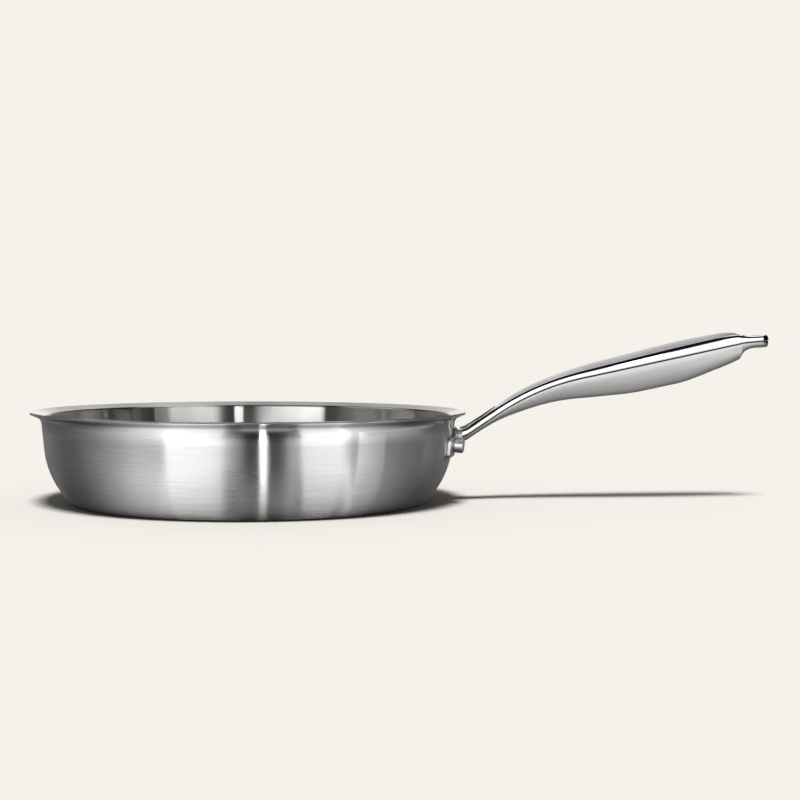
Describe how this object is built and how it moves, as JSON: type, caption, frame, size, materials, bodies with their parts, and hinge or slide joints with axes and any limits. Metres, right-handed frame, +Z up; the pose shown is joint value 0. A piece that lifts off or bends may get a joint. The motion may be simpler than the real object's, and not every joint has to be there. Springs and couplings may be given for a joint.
{
  "type": "frying pan",
  "caption": "Round shallow frying pan with a flared rim, a wrapped riveted bracket and a long rising hollow handle with a hanging hole.",
  "frame": {"origin": "centre of the flat underside of the base", "axes": "+X from the centre of the bowl towards the end of the handle, +Z up out of the bowl, +Y to the left of the handle seen from the bowl"},
  "size_m": [0.4812, 0.2814, 0.1113],
  "materials": {
    "titanium": "brushed in circles, bare titanium",
    "aluminium": "plain, only its edge shows",
    "brushed_steel": "finely brushed around the bowl",
    "polished_steel": "mirror polished",
    "satin_steel": "bead blasted, satin"
  },
  "bodies": {
    "root": {"pan_outer_ply": "brushed_steel", "pan_core_ply": "aluminium", "pan_inner_ply": "titanium", "handle_bracket": "polished_steel", "rivet_front": "polished_steel", "rivet_rear": "polished_steel", "handle_upper_shell": "polished_steel", "handle_lower_shell": "satin_steel"}
  },
  "joints": []
}
